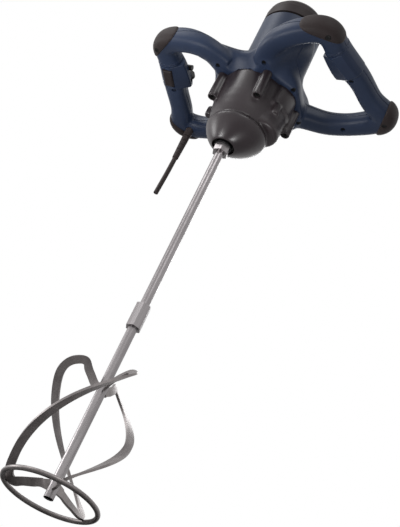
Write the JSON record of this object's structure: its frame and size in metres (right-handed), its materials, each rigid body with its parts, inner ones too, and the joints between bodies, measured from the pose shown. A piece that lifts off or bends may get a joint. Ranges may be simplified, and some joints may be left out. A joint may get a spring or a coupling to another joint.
{
  "type": "mixing drill",
  "caption": "Hand-held mixing drill: motor and gearbox in a two-loop handle frame, driving a long rod with a helical paddle on a ring.",
  "frame": {"origin": "on the spindle axis in the middle plane of the paddle's bottom ring", "axes": "+Z along the spindle from the paddle up to the motor, +X towards the right handle, -Y to the front of the frame"},
  "size_m": [0.3684, 0.2071, 0.834],
  "materials": {
    "frame_plastic": "fine satin moulded plastic",
    "motor_plastic": "fine satin moulded plastic",
    "bumper_rubber": "soft matt rubber",
    "cap_plastic": "fine moulded texture",
    "black_plastic": "matt",
    "gear_casting": "satin dark paint on a casting",
    "zinc_steel": "zinc plated",
    "dark_steel": "blackened",
    "bright_steel": "ground",
    "lamination": "stacked sheet",
    "copper": "enamelled wire",
    "bronze": "sintered",
    "carbon": "carbon block",
    "alloy": "machined",
    "cord_rubber": "matt rubber"
  },
  "bodies": {
    "frame": {"lower_frame_shell": "frame_plastic", "upper_frame_shell": "frame_plastic", "motor_housing": "motor_plastic", "vent_ring": "black_plastic", "end_cap": "cap_plastic", "front_left_bumper": "bumper_rubber", "front_right_bumper": "bumper_rubber", "rear_left_bumper": "bumper_rubber", "rear_right_bumper": "bumper_rubber", "frame_screws": "dark_steel", "bumper_screws": "dark_steel", "gearbox_screws": "dark_steel", "gearbox_housing": "gear_casting", "bearing_plate": "alloy", "spindle_seal": "black_plastic", "spindle_bearing": "bright_steel", "spindle_bush": "bronze", "layshaft_bearings": "bright_steel", "armature_bearings": "bright_steel", "stator_core": "lamination", "field_coils": "copper", "brush_holders": "bronze", "carbon_brushes": "carbon", "trigger_pin": "bright_steel", "trigger_spring": "bright_steel", "switch_module": "black_plastic", "speed_module": "black_plastic", "strain_relief": "cord_rubber", "mains_cord": "cord_rubber", "cord_clamp": "black_plastic"},
    "spindle": {"spindle": "dark_steel", "output_gear": "bright_steel", "gear_circlip": "dark_steel", "paddle_adaptor": "zinc_steel", "upper_rod": "zinc_steel", "coupling_sleeve": "zinc_steel", "lower_rod": "zinc_steel", "paddle_ring": "zinc_steel", "paddle_blade_1": "zinc_steel", "paddle_blade_2": "zinc_steel", "paddle_blade_3": "zinc_steel"},
    "layshaft": {"layshaft": "bright_steel", "intermediate_gear": "bright_steel"},
    "armature": {"armature_shaft": "bright_steel", "armature_core": "lamination", "armature_windings": "copper", "commutator": "copper", "cooling_fan": "black_plastic"},
    "trigger": {"trigger": "black_plastic"},
    "lock_button": {"lock_button": "black_plastic"},
    "speed_dial": {"speed_dial": "black_plastic"}
  },
  "joints": [
    {"name": "spindle_spin", "type": "hinge", "parent": "frame", "child": "spindle", "pos_m": [0, 0, 0.59], "axis": [0, 0, 1], "continuous": true},
    {"name": "layshaft_spin", "type": "hinge", "parent": "frame", "child": "layshaft", "pos_m": [0.02963, 0.01978, 0.62], "axis": [0, 0, 1], "continuous": true},
    {"name": "armature_spin", "type": "hinge", "parent": "frame", "child": "armature", "pos_m": [0, 0.0245, 0.7], "axis": [0, 0, 1], "continuous": true},
    {"name": "trigger_pull", "type": "hinge", "parent": "frame", "child": "trigger", "pos_m": [-0.14157, -0.00494, 0.67045], "axis": [-0.9616, -0.2744, 0], "range_deg": [0, 6], "stiffness_Nm_per_rad": 0.4, "springref_deg": -8.59, "deforming": ["trigger_spring"]},
    {"name": "lock_press", "type": "slide", "parent": "frame", "child": "lock_button", "axis": [-0.9646, -0.2638, 0], "range_m": [0, 0.0025], "stiffness_N_per_m": 400, "springref_m": -0.002},
    {"name": "speed_turn", "type": "hinge", "parent": "frame", "child": "speed_dial", "pos_m": [-0.12099, 0.00116, 0.689], "axis": [-0.2803, 0.9599, 0], "range_deg": [-130, 130]}
  ],
  "couplings": [
    {"joint": "layshaft_spin", "follows": "spindle_spin", "ratio": -3.75},
    {"joint": "armature_spin", "follows": "spindle_spin", "ratio": 15}
  ]
}
